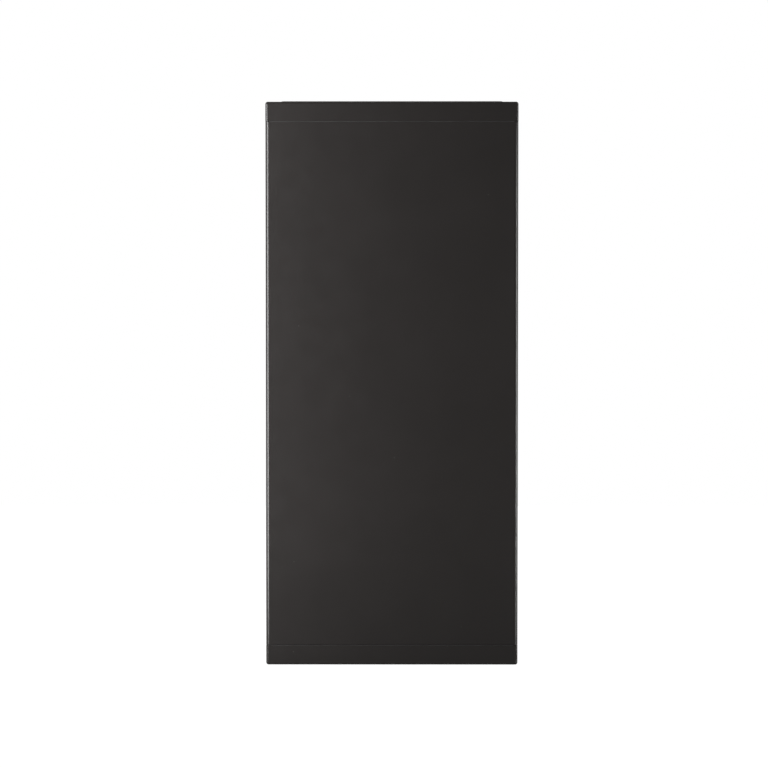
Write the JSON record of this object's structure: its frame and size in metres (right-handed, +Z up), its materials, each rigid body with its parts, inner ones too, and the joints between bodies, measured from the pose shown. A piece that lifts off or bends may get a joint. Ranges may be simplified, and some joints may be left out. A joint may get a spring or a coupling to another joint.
{
  "type": "wall battery unit",
  "caption": "Tall slim dark steel cabinet for wall hanging, with a plain lift-off front, end caps, stacked cell modules and a side switch pocket.",
  "frame": {"origin": "centre of the wall bracket's four bolt slots, on the wall plane", "axes": "+Z up along the tall side, +Y into the wall, +X to the right seen from the front"},
  "size_m": [0.51, 0.19, 1.14],
  "materials": {
    "shell_coat": "satin",
    "chassis_coat": "satin",
    "bracket_coat": "satin",
    "zinc_steel": "satin",
    "black_screw": "satin",
    "screw_steel": "satin",
    "black_plastic": "matte",
    "white_plastic": "satin",
    "grey_plastic": "satin",
    "smoke_plastic": "gloss",
    "lamp_plastic": "gloss",
    "orange_plastic": "satin",
    "rubber": "matte",
    "orange_cable": "satin",
    "loom_sleeve": "satin",
    "cell_wrap": "satin",
    "cast_aluminium": "satin",
    "copper": "satin",
    "brass": "satin",
    "board": "satin",
    "ceramic_body": "satin"
  },
  "bodies": {
    "cabinet": {"wall_bracket": "bracket_coat", "hook_rail": "chassis_coat", "bumpers": "rubber", "lock_screws": "screw_steel", "rear_chassis": "chassis_coat", "top_cap": "shell_coat", "top_plate": "shell_coat", "top_plate_screws": "black_screw", "lifting_plugs": "rubber", "bottom_cap": "shell_coat", "cover_clips": "white_plastic", "cover_seal": "rubber", "gland_plate": "zinc_steel", "gland_bodies": "black_plastic", "gland_seals": "rubber", "gland_nuts": "black_plastic", "earth_stud": "brass", "grip_cups_left": "black_plastic", "grip_cups_right": "black_plastic", "case_screws": "black_screw", "pressure_vent": "black_plastic", "switch_pocket": "black_plastic", "breaker_body": "grey_plastic", "flap_pin": "screw_steel", "button_housing": "screw_steel", "status_lights": "lamp_plastic", "comm_sockets": "grey_plastic", "electronics_tray": "zinc_steel", "bms_board": "board", "contactors": "black_plastic", "main_fuse": "ceramic_body", "current_sensor": "black_plastic", "precharge_resistor": "cast_aluminium", "busbar_links": "copper", "terminal_block": "grey_plastic", "sense_boards": "board", "signal_looms": "loom_sleeve", "module_terminals": "orange_plastic", "hv_cables": "orange_cable", "module_shelves": "zinc_steel", "module_straps": "screw_steel", "end_plates": "cast_aluminium", "inner_fasteners": "screw_steel", "cells_1": "cell_wrap", "busbars_1": "copper", "cell_cover_1": "black_plastic", "cells_2": "cell_wrap", "busbars_2": "copper", "cell_cover_2": "black_plastic", "cells_3": "cell_wrap", "busbars_3": "copper", "cell_cover_3": "black_plastic", "cells_4": "cell_wrap", "busbars_4": "copper", "cell_cover_4": "black_plastic"},
    "cover": {"front_cover": "shell_coat", "cover_studs": "screw_steel"},
    "lever": {"breaker_lever": "black_plastic"},
    "flap": {"breaker_flap": "smoke_plastic"},
    "button": {"power_button": "black_plastic"}
  },
  "joints": [
    {"name": "cover_pull", "type": "slide", "parent": "cabinet", "child": "cover", "axis": [0, -1, 0], "range_m": [0, 0.25]},
    {"name": "lever_throw", "type": "hinge", "parent": "cabinet", "child": "lever", "pos_m": [0.224, -0.086, -0.448], "axis": [0, 1, 0], "range_deg": [0, 50]},
    {"name": "flap_lift", "type": "hinge", "parent": "cabinet", "child": "flap", "pos_m": [0.2503, -0.07, -0.385], "axis": [0, -1, 0], "range_deg": [0, 110]},
    {"name": "button_press", "type": "slide", "parent": "cabinet", "child": "button", "axis": [-1, 0, 0], "range_m": [0, 0.002], "stiffness_N_per_m": 500}
  ]
}
